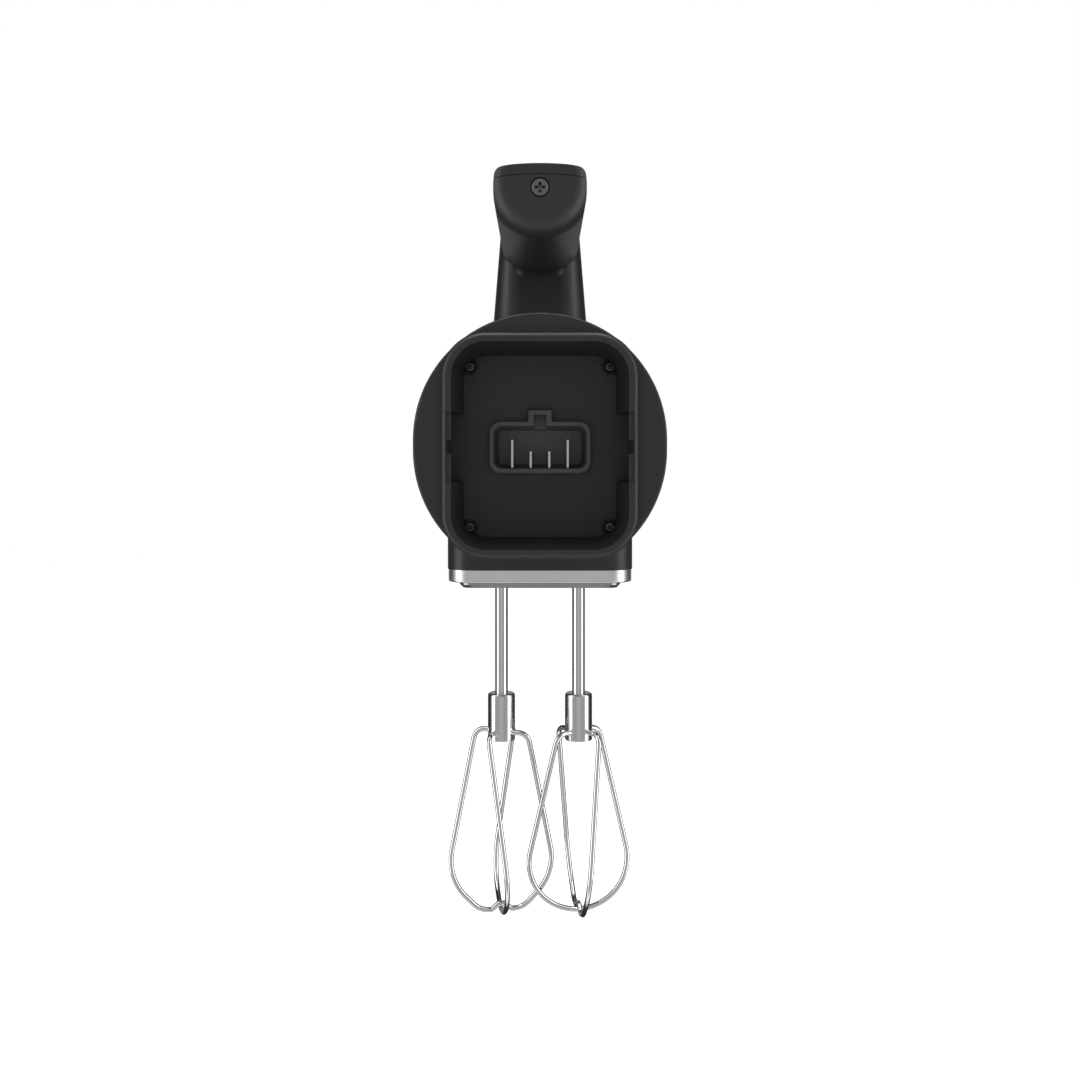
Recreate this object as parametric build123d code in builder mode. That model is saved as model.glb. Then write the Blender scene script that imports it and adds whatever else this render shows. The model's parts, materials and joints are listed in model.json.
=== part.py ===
"""Cordless hand mixer: grip, barrel with a battery dock, steel-banded foot and two wire beaters.

Millimetres. +X is to the right seen from the dock end, +Y runs from the dock to the nose, +Z is up.
The origin is midway between the beater axes, on the underside of the base plate.
"""

import math
import os

from build123d import *

os.makedirs("parts", exist_ok=True)

# ---- driving dimensions -------------------------------------------------------------------------

WALL = 2.2                  # moulded wall thickness
CLEAR = 0.3                 # gap between pieces that move past each other
RUN = 0.08                  # radial running clearance of a shaft in its bush

AXIS_X = 18.0               # half the distance between the beater axes

BARREL_R = 49.8             # barrel section: a short upright stadium
BARREL_UPPER_Z = 65.3       # centre of its upper arc
BARREL_LOWER_Z = 61.1       # centre of its lower arc
HEEL_Z = 19.0               # flat underside of the barrel
REAR_Y = -92.0              # rear face of the dock cover
COVER_Y = -89.5             # joint between dock cover and housing
NOSE_Y = 45.0
NOSE_R = 34.0               # rounding of the nose

FOOT_X = 41.6               # half width of the foot tower
FOOT_Y = 31.0               # half depth of the foot tower
FOOT_R = 12.0               # its corner radius, seen from above
BAND_TOP_Z = 8.4
BAND_BOTTOM_Z = 2.8
BAND_T = 1.2
PLATE_INSET = 5.4           # base plate, inset from the foot's outline
SOCKET_R = 5.2              # hole that a beater's shaft and wings pass through

GRIP_TOP_Z = 173.4          # crown of the grip
GRIP_SHOULDER_Z = 172.1     # where the crown meets the sides
GRIP_SHOULDER_X = 17.7
GRIP_WIDE_Z = 161.6         # widest line of the grip
GRIP_WIDE_X = 18.4
GRIP_CHEEK_Z = 153.8        # where the sides meet the rounded underside
GRIP_CHEEK_X = 17.0
GRIP_BELLY_Z = 145.4        # lowest line of the underside
GRIP_FRONT_Y = 36.0
GRIP_FRONT_R = 9.0          # rounding of the grip's front end
SEAM_Z = 169.1              # joint of the top cover at the middle of the grip
SEAM_DROP = 1.3             # how far that joint falls away towards the sides
SEAM_GAP = 0.25
COVER_FRONT_Y = 25.5        # front end of the top cover

POST_REAR_Y = 10.0          # rear face of the front post below the grip
POST_HALF_X = 19.0          # half width of the post at the grip
POST_TAPER = 4.6            # degrees, wider towards the barrel
POST_TOP_Z = 166.0
WEB_R = 13.0                # hollow between the grip's underside and the post
WEB_HALF_X = 14.0
GRIP_END_R = 10.0           # rounding of the grip's rear end into its underside
POST_R = 9.0                # corner radius of the post, seen from above
HANDLE_SCREW_Z = 164.0

DOCK_FRAME_Y = -98.0        # rim of the dock frame
DOCK_FRAME_X = 38.4
DOCK_FRAME_TOP_Z = 107.0
DOCK_LOW_Z = 22.5           # dock opening, bottom and top
DOCK_HIGH_Z = 103.2
DOCK_HALF_X = 34.4
DOCK_DEPTH = 30.0
DOCK_R = 13.5               # corner radius of the opening
DOCK_DRAFT = 5.9            # degrees
DOCK_WALL = 1.9
LATCH_LOW_Z = 48.4          # pockets in the dock's side walls
LATCH_HIGH_Z = 76.2
LATCH_X = 36.4
NOTCH_HEIGHT = 5.4
DOCK_SCREW_X = 28.9
DOCK_SCREW_Z = (29.5, 95.8)

DOCK_SEAT_Y = -63.5         # seat of the dock's screw heads, at the bottom of their counterbores
COUNTERBORE_R = 3.6
BOSS_REAR_Y = -61.7         # rear ends of the housing's screw bosses
BOARD_Z = 156.0             # underside of the control board in the grip

PLUG_Z = 62.45              # middle of the connector
PLUG_X = 21.0               # half width of its lip
PLUG_HALF_Z = 10.75
PLUG_LIP_Y = -72.0
PLUG_FRONT_Y = -58.5        # inner end of the connector
PLUG_TAB = 4.8              # height of its keyed tab
BLADE_Z = 54.2
BLADE_T = 0.8
BLADES = {"power": (11.35, 11.3), "signal": (3.8, 6.6)}     # half spacing and height

WORM_Z = 46.0               # height of the motor axis
WORM_R = 4.5                # pitch radius of the two-start worm
WORM_STARTS = 2
WHEEL_TEETH = 27
MODULE = 1.0
WHEEL_R = WHEEL_TEETH * MODULE / 2
TOOTH_PITCH = math.pi * MODULE
THREAD_ROOT_HALF = 0.75     # half thickness of a worm thread at its root
GAP_TIP = 2.55              # width of a wheel's tooth gap at its mouth
WORM_LEAD = WORM_STARTS * TOOTH_PITCH
WORM_THREAD = 21.0          # threaded length
MOTOR_R = 18.5
MOTOR_REAR_Y = -54.0
MOTOR_FRONT_Y = -18.0
MOTOR_SHAFT_R = 1.6
MAGNET_FRONT_Y = -24.0
MAGNET_LENGTH = 23.0
ARMATURE_R = 12.0
ARMATURE_SLOTS = 5
COMMUTATOR_R = 4.5

SPINDLE_R = 6.0
BUSH_R = 7.8
SPINDLE_TOP_Z = 59.5
WING_X = 4.7                # drive wings on a beater's shaft
WING_T = 1.6
WING_TOP_Z = 16.0
SHAFT_R = 3.0
SHAFT_TOP_Z = 28.0
FRAME_FLOOR_Z = 31.0
FRAME_CAP_Z = 54.0
FRAME_CAP_T = 3.0
FRAME_POSTS = [(-31.5, -14.0), (31.5, -14.0), (-31.5, 15.0), (31.5, 15.0)]
PLATE_TOP_Z = 5.5           # inside face of the base plate

BUTTON_Y = 16.0             # eject button and its rod
BUTTON_R = 7.5
BUTTON_TRAVEL = 6.0
YOKE_Z = 66.0
ROD_R = 2.5
SLIDER_Y = -26.0            # middle of the speed slider's travel
SLIDER_TRAVEL = 18.0
SLIDER_REST_Y = SLIDER_Y - SLIDER_TRAVEL / 2
WIPER_Z = 167.4             # foot of the slider's stem
BUTTON_BASE_Z = 167.3
BUTTON_TOP_Z = 179.0
SPRING_BASE_Z = 117.0       # top of the rod's guide boss
SPRING_TOP_Z = 134.0        # collar on the rod
BOARD_REAR_Y = -78.0
BOARD_FRONT_Y = -12.0
BOARD_CHIPS = [(-6, -66, 8, 8, 1.6), (6, -60, 6, 10, 3.0), (7, -72, 5, 5, 4.0), (-5, -52, 10, 6, 1.2)]

COLLAR_R = 6.4
COLLAR_TOP_Z = -51.3
COLLAR_BOTTOM_Z = -73.2
WIRE_R = 1.2
WIRE_EXIT_Z = -69.2
BEND_R = 13.5               # radius from the axis at which a wire turns down
LOOP_R = 24.0               # radius of a loop's round bottom
LOOP_Z = -128.5             # centre of that round bottom
HUMP = 2.6                  # how far one loop rises over the other
ARM_ANGLE = -80.5           # direction of the nearest arm, from +X towards +Y


# ---- shared shapes ------------------------------------------------------------------------------

def rearward(y):
    """A plane at y whose sketches are seen from the dock end: local x is X and local y is Z."""
    return Plane.XZ.offset(-y)


def stadium_prism(inset, rear, front, nose):
    """The barrel's section, inset by a wall, from rear to front with a rounded nose."""
    with BuildPart() as prism:
        with BuildSketch(rearward(front)):
            with Locations((0, (BARREL_UPPER_Z + BARREL_LOWER_Z) / 2)):
                SlotCenterToCenter(BARREL_UPPER_Z - BARREL_LOWER_Z, 2 * (BARREL_R - inset), rotation=90)
        extrude(amount=front - rear)
        if nose:
            fillet(prism.faces().sort_by(Axis.Y)[-1].edges(), nose - inset)
        with BuildSketch(Plane.XY.offset(HEEL_Z + inset)):
            Rectangle(400, 400)
        extrude(amount=-60, mode=Mode.SUBTRACT)
    return prism.part


def foot_prism(inset, low, high):
    """The foot's rounded rectangle, inset, between two heights."""
    with BuildPart() as prism:
        with BuildSketch(Plane.XY.offset(low)):
            RectangleRounded(2 * (FOOT_X - inset), 2 * (FOOT_Y - inset), FOOT_R - inset)
        extrude(amount=high - low)
    return prism.part


def grip_prism(inset, rear, front):
    """The grip's section, inset by a wall, from rear to front."""
    with BuildPart() as prism:
        with BuildSketch(rearward(front)) as section:
            with BuildLine():
                shoulder = (GRIP_SHOULDER_X - inset, GRIP_SHOULDER_Z - inset)
                wide = (GRIP_WIDE_X - inset, GRIP_WIDE_Z)
                cheek = (GRIP_CHEEK_X - inset, GRIP_CHEEK_Z + inset / 3)
                ThreePointArc((-shoulder[0], shoulder[1]), (0, GRIP_TOP_Z - inset), shoulder)
                ThreePointArc(shoulder, wide, cheek)
                ThreePointArc(cheek, (0, GRIP_BELLY_Z + inset), (-cheek[0], cheek[1]))
                ThreePointArc((-cheek[0], cheek[1]), (-wide[0], wide[1]), (-shoulder[0], shoulder[1]))
            make_face()
            fillet(section.vertices().group_by(Axis.Y)[-1], 3.2 - inset / 2)
        extrude(amount=front - rear)
        belly_drop = GRIP_CHEEK_Z - GRIP_BELLY_Z
        belly_r = (GRIP_CHEEK_X ** 2 + belly_drop ** 2) / (2 * belly_drop)
        belly_axis = Axis((0, 0, GRIP_BELLY_Z + belly_r), (0, 1, 0))
        reach = belly_r - inset + 0.03
        end_r = GRIP_END_R - inset
        with BuildPart(mode=Mode.INTERSECT):            # the underside's cylinder, with a rounded rear end
            with BuildSketch(Plane.YZ.offset(0)):
                with BuildLine():
                    low_z = belly_axis.position.Z - reach
                    Polyline((rear, low_z + end_r), (rear, belly_axis.position.Z),
                             (front, belly_axis.position.Z), (front, low_z), (rear + end_r, low_z))
                    RadiusArc((rear + end_r, low_z), (rear, low_z + end_r), end_r)
                make_face()
            revolve(axis=belly_axis)
    return prism.part


def post_prism(inset, top, length):
    """The front post, tapering wider from the grip down to the barrel."""
    depth = GRIP_FRONT_Y - POST_REAR_Y
    with BuildPart() as prism:
        with BuildSketch(Plane.XY.offset(top)):
            with Locations((0, POST_REAR_Y + depth / 2)):
                RectangleRounded(2 * (POST_HALF_X - inset), depth - 2 * inset, POST_R - inset)
        extrude(amount=-length, taper=-POST_TAPER)
    return prism.part


def dock_prism(grow, rear, depth):
    """The drafted dock pocket, grown by a wall, from its opening at rear to its floor."""
    with BuildPart() as prism:
        with BuildSketch(rearward(rear)):
            with Locations((0, (DOCK_LOW_Z + DOCK_HIGH_Z) / 2)):
                RectangleRounded(2 * (DOCK_HALF_X + grow), DOCK_HIGH_Z - DOCK_LOW_Z + 2 * grow, DOCK_R + grow)
        extrude(amount=-depth, taper=DOCK_DRAFT)
    return prism.part


def top_zone(lift, front):
    """Everything above the arched joint of the grip's top cover, back from front."""
    with BuildPart() as zone:
        with BuildSketch(rearward(front)):
            with BuildLine():
                left = (-GRIP_WIDE_X, SEAM_Z + lift - SEAM_DROP)
                right = (GRIP_WIDE_X, SEAM_Z + lift - SEAM_DROP)
                ThreePointArc(left, (0, SEAM_Z + lift), right)
                Polyline(right, (40, right[1]), (40, 200), (-40, 200), (-40, left[1]), left)
            make_face()
        extrude(amount=front + 120)
    return zone.part


def annulus(x, y, low, high, outer, inner):
    """An upright ring about a vertical axis at x, y."""
    with BuildPart() as ring:
        with BuildSketch(Plane.XY.offset(low)):
            with Locations((x, y)):
                Circle(outer)
                Circle(inner, mode=Mode.SUBTRACT)
        extrude(amount=high - low)
    return ring.part


def screw(plane, head_r, head_h, shank_r, length, drive):
    """A pan-head screw whose head stands on the plane's far side and whose shank runs into it."""
    with BuildPart() as body:
        with BuildSketch(plane):
            Circle(head_r)
        extrude(amount=head_h)
        fillet(body.edges().sort_by(lambda edge: edge.distance_to(plane.origin))[-1], head_h * 0.4)
        with BuildSketch(plane):
            Circle(shank_r)
        extrude(amount=-length)
        with BuildSketch(plane.offset(head_h)):
            if drive == "cross":
                Rectangle(head_r * 1.15, head_r * 0.3)
                Rectangle(head_r * 0.3, head_r * 1.15)
                Circle(head_r * 0.26)
            else:
                for turn in range(3):
                    SlotOverall(head_r * 1.05, head_r * 0.32, rotation=60 * turn)
        extrude(amount=-head_h * 0.8, mode=Mode.SUBTRACT)
    return body.part


# ---- housing, top cover and foot ----------------------------------------------------------------

with BuildPart() as web:                    # rounded hollow between the grip and the post
    with BuildSketch(Plane.YZ.offset(-WEB_HALF_X)):
        with BuildLine():
            corner = (POST_REAR_Y + 3, GRIP_BELLY_Z + 5)
            start = (POST_REAR_Y - WEB_R - 1, corner[1])
            end = (corner[0] - 3, corner[1] - WEB_R)
            Polyline(start, corner, (corner[0], end[1]), end)
            RadiusArc(end, start, -WEB_R)
        make_face()
    extrude(amount=2 * WEB_HALF_X)
    fillet(web.edges().filter_by(GeomType.CIRCLE), 7)

with BuildPart() as grip_solid:             # the grip, its front end rounded above and at the sides
    add(grip_prism(0, REAR_Y, GRIP_FRONT_Y))
    with BuildSketch(Plane.XY.offset(100)):
        with Locations((0, GRIP_FRONT_Y)):
            RectangleRounded(2 * GRIP_WIDE_X + 0.1, 400, GRIP_FRONT_R, align=(Align.CENTER, Align.MAX))
    extrude(amount=100, mode=Mode.INTERSECT)
    with BuildSketch(Plane.YZ.offset(-40)):
        with Locations((GRIP_FRONT_Y, GRIP_TOP_Z + 0.05)):
            RectangleRounded(400, 100, GRIP_FRONT_R, align=(Align.MAX, Align.MAX))
    extrude(amount=80, mode=Mode.INTERSECT)

with BuildPart() as outer_body:
    add(stadium_prism(0, COVER_Y, NOSE_Y, NOSE_R))
    add(foot_prism(0, BAND_TOP_Z, 60))
    add(grip_solid.part)
    add(post_prism(0, POST_TOP_Z, POST_TOP_Z - 95))
    post_root = outer_body.edges().filter_by(
        lambda edge: 100 < edge.center().Z < 118 and -5 < edge.center().Y < NOSE_Y)
    fillet(post_root, 6)
    add(web.part)

with BuildPart() as inner_space:
    add(stadium_prism(WALL, COVER_Y, NOSE_Y - WALL, NOSE_R))
    add(foot_prism(WALL, BAND_TOP_Z, 45))
    add(grip_prism(WALL, REAR_Y + 3, GRIP_FRONT_Y - 4))
    with BuildPart(mode=Mode.PRIVATE) as post_space:
        add(post_prism(WALL + 0.4, POST_TOP_Z - 8, POST_TOP_Z - 8 - 95))
        add(stadium_prism(0, COVER_Y, NOSE_Y, NOSE_R), mode=Mode.SUBTRACT)
        with BuildSketch(Plane.XY.offset(100)):
            with Locations((0, BUTTON_Y)):
                Circle(6.5)
        extrude(amount=17, mode=Mode.SUBTRACT)
    add(post_space.part)
    with BuildSketch(Plane.XY.offset(105)):         # guide hole of the eject rod
        with Locations((0, BUTTON_Y)):
            Circle(ROD_R + RUN)
        with Locations((9, BUTTON_Y + 8)):          # way through for the wires
            Circle(2.6)
    extrude(amount=20)

with BuildPart() as dock_bosses:            # bosses for the dock's screws, ribbed to the wall
    with BuildSketch(rearward(BOSS_REAR_Y)):
        for side in (-1, 1):
            for z in DOCK_SCREW_Z:
                centre_z = BARREL_UPPER_Z if z > WORM_Z else BARREL_LOWER_Z
                lean = math.degrees(math.atan2(z - centre_z, side * DOCK_SCREW_X))
                with Locations((side * DOCK_SCREW_X, z)):
                    Circle(3.6)
                    Rectangle(12, 3, rotation=lean, align=(Align.MIN, Align.CENTER))
    extrude(amount=-18)
    add(stadium_prism(WALL / 2, COVER_Y, NOSE_Y, 0), mode=Mode.INTERSECT)
    with BuildSketch(rearward(BOSS_REAR_Y)):
        with GridLocations(2 * DOCK_SCREW_X, DOCK_SCREW_Z[1] - DOCK_SCREW_Z[0], 2, 2):
            with Locations((0, sum(DOCK_SCREW_Z) / 2)):
                Circle(1.3)
    extrude(amount=-14, mode=Mode.SUBTRACT)

with BuildPart() as board_ribs:             # two cross ribs in the grip carry the control board
    for y in (-70, -40):
        with BuildSketch(rearward(y)):
            with Locations((0, BOARD_Z - 6)):
                Rectangle(40, 12)
        extrude(amount=-2)
    add(grip_prism(WALL / 2, REAR_Y + 3, 0), mode=Mode.INTERSECT)

with BuildPart() as main_housing:
    add(outer_body.part)
    add(inner_space.part, mode=Mode.SUBTRACT)
    add(top_zone(0, COVER_FRONT_Y), mode=Mode.SUBTRACT)
    with BuildSketch(rearward(REAR_Y + 3)):         # screw boss in the grip's rear end
        with Locations((0, HANDLE_SCREW_Z)):
            Circle(4.6)
    extrude(amount=-9)
    with BuildSketch(rearward(REAR_Y)):
        with Locations((0, HANDLE_SCREW_Z)):
            Circle(3.9)
    extrude(amount=-1.6, mode=Mode.SUBTRACT)
    with BuildSketch(rearward(REAR_Y)):
        with Locations((0, HANDLE_SCREW_Z)):
            Circle(1.6)
    extrude(amount=-14, mode=Mode.SUBTRACT)
    add(dock_bosses.part)
    add(board_ribs.part)
main_housing.part.label = "main_housing"
export_step(main_housing.part, "parts/main_housing.step")

with BuildPart() as handle_top_cover:
    add(outer_body.part)
    add(inner_space.part, mode=Mode.SUBTRACT)
    add(top_zone(SEAM_GAP, COVER_FRONT_Y - SEAM_GAP), mode=Mode.INTERSECT)
    with BuildSketch(Plane.XY.offset(GRIP_TOP_Z - 8)):
        with Locations((0, SLIDER_Y)):
            SlotOverall(SLIDER_TRAVEL + 7, 5.2, rotation=90)
        with Locations((0, BUTTON_Y)):
            Circle(BUTTON_R + 0.35)
    extrude(amount=20, mode=Mode.SUBTRACT)
handle_top_cover.part.label = "handle_top_cover"
export_step(handle_top_cover.part, "parts/handle_top_cover.step")


with BuildPart() as steel_band:
    add(foot_prism(0.4, BAND_BOTTOM_Z, BAND_TOP_Z))
    fillet(steel_band.faces().sort_by(Axis.Z)[0].edges(), 0.7)
    add(foot_prism(0.4 + BAND_T, BAND_BOTTOM_Z, BAND_TOP_Z), mode=Mode.SUBTRACT)
steel_band.part.label = "steel_band"
export_step(steel_band.part, "parts/steel_band.step")

with BuildPart() as base_plate:
    add(foot_prism(PLATE_INSET, 0, BAND_BOTTOM_Z))
    chamfer(base_plate.faces().sort_by(Axis.Z)[0].edges(), 1.4)
    add(foot_prism(0.45 + BAND_T, BAND_BOTTOM_Z, BAND_TOP_Z))
    add(foot_prism(WALL + 0.1, BAND_TOP_Z, BAND_TOP_Z + 4))
    add(foot_prism(WALL + 2.4, PLATE_TOP_Z, BAND_TOP_Z + 4), mode=Mode.SUBTRACT)
    with BuildSketch(Plane.XY):
        with Locations((-AXIS_X, 0), (AXIS_X, 0)):
            Circle(SOCKET_R)
        with Locations(*FRAME_POSTS):
            Circle(1.5)
    extrude(amount=PLATE_TOP_Z, mode=Mode.SUBTRACT)
    with BuildSketch(Plane.XY):
        with Locations(*FRAME_POSTS):
            Circle(3.3)
    extrude(amount=2.4, mode=Mode.SUBTRACT)
base_plate.part.label = "base_plate"
export_step(base_plate.part, "parts/base_plate.step")

with BuildPart() as base_screws:
    for x, y in FRAME_POSTS:
        head = Plane(origin=(x, y, 2.4), x_dir=(1, 0, 0), z_dir=(0, 0, -1))
        add(screw(head, 2.8, 1.8, 1.4, 16, "cross"))
base_screws.part.label = "base_screws"
export_step(base_screws.part, "parts/base_screws.step")

with BuildPart() as handle_screw:
    seat = Plane(origin=(0, REAR_Y + 1.6, HANDLE_SCREW_Z), x_dir=(1, 0, 0), z_dir=(0, -1, 0))
    add(screw(seat, 3.5, 1.5, 1.6, 10, "cross"))
handle_screw.part.label = "handle_screw"
export_step(handle_screw.part, "parts/handle_screw.step")


# ---- battery dock -------------------------------------------------------------------------------

with BuildPart() as pocket_shell:           # outside of the dock pocket, kept inside the barrel
    add(dock_prism(DOCK_WALL, DOCK_FRAME_Y, DOCK_DEPTH + DOCK_WALL))
    with BuildSketch(rearward(REAR_Y)):
        with Locations((0, (LATCH_LOW_Z + LATCH_HIGH_Z) / 2)):
            Rectangle(2 * (LATCH_X + 1.4), LATCH_HIGH_Z - LATCH_LOW_Z + 3)
    extrude(amount=-(DOCK_FRAME_Y + DOCK_DEPTH + DOCK_WALL - REAR_Y))
    add(stadium_prism(WALL + 0.25, REAR_Y, 0, 0), mode=Mode.INTERSECT)

with BuildPart() as rear_cover:
    add(stadium_prism(0, REAR_Y, COVER_Y, 0))
    fillet(rear_cover.faces().sort_by(Axis.Y)[0].edges().filter_by(GeomType.CIRCLE), 1.0)
    with BuildSketch(rearward(COVER_Y)):
        with Locations((0, (HEEL_Z + DOCK_FRAME_TOP_Z) / 2)):
            RectangleRounded(2 * DOCK_FRAME_X, DOCK_FRAME_TOP_Z - HEEL_Z, 17.5)
    extrude(amount=COVER_Y - DOCK_FRAME_Y)
    fillet(rear_cover.faces().sort_by(Axis.Y)[0].edges(), 2.6)
    add(pocket_shell.part)
    add(dock_prism(0, DOCK_FRAME_Y, DOCK_DEPTH), mode=Mode.SUBTRACT)
    with BuildSketch(rearward(DOCK_FRAME_Y - 1)):
        with Locations((0, (LATCH_LOW_Z + LATCH_HIGH_Z) / 2)):
            Rectangle(2 * LATCH_X, LATCH_HIGH_Z - LATCH_LOW_Z)
    extrude(amount=-DOCK_DEPTH - 1, mode=Mode.SUBTRACT)
    for side in (-1, 1):                    # lip across each latch pocket's mouth, split by a notch
        with BuildSketch(rearward(DOCK_FRAME_Y + 2.5)):
            with Locations((side * (DOCK_HALF_X + LATCH_X + 0.4) / 2, (LATCH_LOW_Z + LATCH_HIGH_Z) / 2)):
                Rectangle(LATCH_X - DOCK_HALF_X + 0.4, LATCH_HIGH_Z - LATCH_LOW_Z)
                Rectangle(LATCH_X - DOCK_HALF_X + 0.4, NOTCH_HEIGHT, mode=Mode.SUBTRACT)
        extrude(amount=1.5)
    with BuildSketch(rearward(DOCK_FRAME_Y + DOCK_DEPTH + DOCK_WALL)):      # bosses behind the floor
        with Locations((0, sum(DOCK_SCREW_Z) / 2)):
            with GridLocations(2 * DOCK_SCREW_X, DOCK_SCREW_Z[1] - DOCK_SCREW_Z[0], 2, 2):
                Circle(COUNTERBORE_R + 1.2)
    extrude(amount=-(DOCK_SEAT_Y + 1.6 - DOCK_FRAME_Y - DOCK_DEPTH - DOCK_WALL))
    with BuildSketch(rearward(DOCK_SEAT_Y)):
        with Locations((0, sum(DOCK_SCREW_Z) / 2)):
            with GridLocations(2 * DOCK_SCREW_X, DOCK_SCREW_Z[1] - DOCK_SCREW_Z[0], 2, 2):
                Circle(COUNTERBORE_R)
    extrude(amount=DOCK_SEAT_Y - DOCK_FRAME_Y - DOCK_DEPTH + 4, mode=Mode.SUBTRACT)
    with BuildSketch(rearward(DOCK_FRAME_Y)):
        with Locations((0, sum(DOCK_SCREW_Z) / 2)):
            with GridLocations(2 * DOCK_SCREW_X, DOCK_SCREW_Z[1] - DOCK_SCREW_Z[0], 2, 2):
                Circle(1.4)
        with Locations((0, PLUG_Z)):
            RectangleRounded(2 * PLUG_X, 2 * PLUG_HALF_Z, 5)
        with Locations((0, PLUG_Z + PLUG_HALF_Z)):
            Rectangle(10, 2 * PLUG_TAB)
    extrude(amount=-DOCK_DEPTH - 10, mode=Mode.SUBTRACT)
rear_cover.part.label = "rear_cover"
export_step(rear_cover.part, "parts/rear_cover.step")

with BuildPart() as dock_screws:
    for side in (-1, 1):
        for z in DOCK_SCREW_Z:
            seat = Plane(origin=(side * DOCK_SCREW_X, DOCK_SEAT_Y, z),
                         x_dir=(1, 0, 0), z_dir=(0, -1, 0))
            add(screw(seat, 2.1, 1.6, 1.3, 12, "star"))
dock_screws.part.label = "dock_screws"
export_step(dock_screws.part, "parts/dock_screws.step")

with BuildPart() as connector_housing:
    with BuildSketch(rearward(PLUG_FRONT_Y)):
        with Locations((0, PLUG_Z)):
            RectangleRounded(2 * PLUG_X, 2 * PLUG_HALF_Z, 5)
        with Locations((0, PLUG_Z + PLUG_HALF_Z)):
            Rectangle(10, 2 * PLUG_TAB)
    extrude(amount=PLUG_FRONT_Y - PLUG_LIP_Y)
    fillet(connector_housing.faces().sort_by(Axis.Y)[0].edges(), 0.7)
    with BuildSketch(rearward(DOCK_FRAME_Y + DOCK_DEPTH + DOCK_WALL)):   # flange behind the dock floor
        with Locations((0, PLUG_Z + 1)):
            Rectangle(2 * PLUG_X + 6, 2 * PLUG_HALF_Z + 5)
    extrude(amount=-2)
    with BuildSketch(rearward(PLUG_LIP_Y)):
        with Locations((0, PLUG_Z)):
            RectangleRounded(2 * PLUG_X - 4, 2 * PLUG_HALF_Z - 4, 3.6)
    extrude(amount=-12, taper=8, mode=Mode.SUBTRACT)
    with BuildSketch(rearward(PLUG_LIP_Y)):
        with Locations((0, PLUG_Z + PLUG_HALF_Z - 2)):
            Rectangle(5.2, 9)
    extrude(amount=-8, mode=Mode.SUBTRACT)
    with BuildSketch(rearward(PLUG_LIP_Y)):
        for spacing, height in BLADES.values():
            with Locations((-spacing, BLADE_Z), (spacing, BLADE_Z)):
                Rectangle(BLADE_T, height, align=(Align.CENTER, Align.MIN))
    extrude(amount=-16, mode=Mode.SUBTRACT)
connector_housing.part.label = "connector_housing"
export_step(connector_housing.part, "parts/connector_housing.step")

for use, (spacing, height) in BLADES.items():
    with BuildPart() as blades:
        with BuildSketch(rearward(PLUG_LIP_Y + 1.5)):
            with Locations((-spacing, BLADE_Z), (spacing, BLADE_Z)):
                Rectangle(BLADE_T, height, align=(Align.CENTER, Align.MIN))
        extrude(amount=PLUG_LIP_Y + 1.5 - PLUG_FRONT_Y)
    blades.part.label = f"{use}_blades"
    export_step(blades.part, f"parts/{use}_blades.step")


# ---- gearbox ------------------------------------------------------------------------------------

with BuildPart() as gearbox_frame:
    with BuildSketch(Plane.XY.offset(FRAME_FLOOR_Z)):
        with Locations((0, 1)):
            RectangleRounded(72, 38, 4)
        with Locations((-AXIS_X, 0), (AXIS_X, 0)):
            Circle(BUSH_R, mode=Mode.SUBTRACT)
    extrude(amount=3)
    with BuildSketch(Plane.XY.offset(PLATE_TOP_Z)):
        with Locations(*FRAME_POSTS):
            Circle(4)
            Circle(1.4, mode=Mode.SUBTRACT)
    extrude(amount=FRAME_FLOOR_Z - PLATE_TOP_Z)
    with BuildSketch(Plane.XY.offset(FRAME_FLOOR_Z + 3)):
        with Locations(*FRAME_POSTS):
            Circle(4)
            Circle(1.2, mode=Mode.SUBTRACT)
    extrude(amount=FRAME_CAP_Z - FRAME_FLOOR_Z - 3)
    with BuildSketch(rearward(-15)):        # motor plate
        with Locations((0, (FRAME_FLOOR_Z + 3 + FRAME_CAP_Z) / 2)):
            Rectangle(40, FRAME_CAP_Z - FRAME_FLOOR_Z - 3)
        with Locations((0, WORM_Z)):
            Circle(5.2, mode=Mode.SUBTRACT)
        with Locations((-9, WORM_Z), (9, WORM_Z)):
            Circle(1.2, mode=Mode.SUBTRACT)
    extrude(amount=3)
    with BuildSketch(rearward(20)):         # tail wall
        with Locations((0, (FRAME_FLOOR_Z + 3 + FRAME_CAP_Z) / 2)):
            Rectangle(14, FRAME_CAP_Z - FRAME_FLOOR_Z - 3)
        with Locations((0, WORM_Z)):
            Circle(3.4, mode=Mode.SUBTRACT)
    extrude(amount=3)
gearbox_frame.part.label = "gearbox_frame"
export_step(gearbox_frame.part, "parts/gearbox_frame.step")

with BuildPart() as gearbox_cap:
    with BuildSketch(Plane.XY.offset(FRAME_CAP_Z)):
        with Locations((0, 1)):
            RectangleRounded(72, 38, 4)
        with Locations((-AXIS_X, 0), (AXIS_X, 0)):
            Circle(BUSH_R, mode=Mode.SUBTRACT)
        with Locations(*FRAME_POSTS):
            Circle(1.2, mode=Mode.SUBTRACT)
    extrude(amount=FRAME_CAP_T)
gearbox_cap.part.label = "gearbox_cap"
export_step(gearbox_cap.part, "parts/gearbox_cap.step")

with BuildPart() as gearbox_screws:
    for x, y in FRAME_POSTS:
        add(screw(Plane(origin=(x, y, FRAME_CAP_Z + FRAME_CAP_T)), 2.4, 1.8, 1.2, 14, "cross"))
gearbox_screws.part.label = "gearbox_screws"
export_step(gearbox_screws.part, "parts/gearbox_screws.step")

for level, low in (("lower", FRAME_FLOOR_Z - 1), ("upper", FRAME_CAP_Z - 0.5)):
    with BuildPart() as bushes:
        for side in (-1, 1):
            add(annulus(side * AXIS_X, 0, low, low + 4, BUSH_R, SPINDLE_R + RUN))
    bushes.part.label = f"{level}_bushes"
    export_step(bushes.part, f"parts/{level}_bushes.step")

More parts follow.
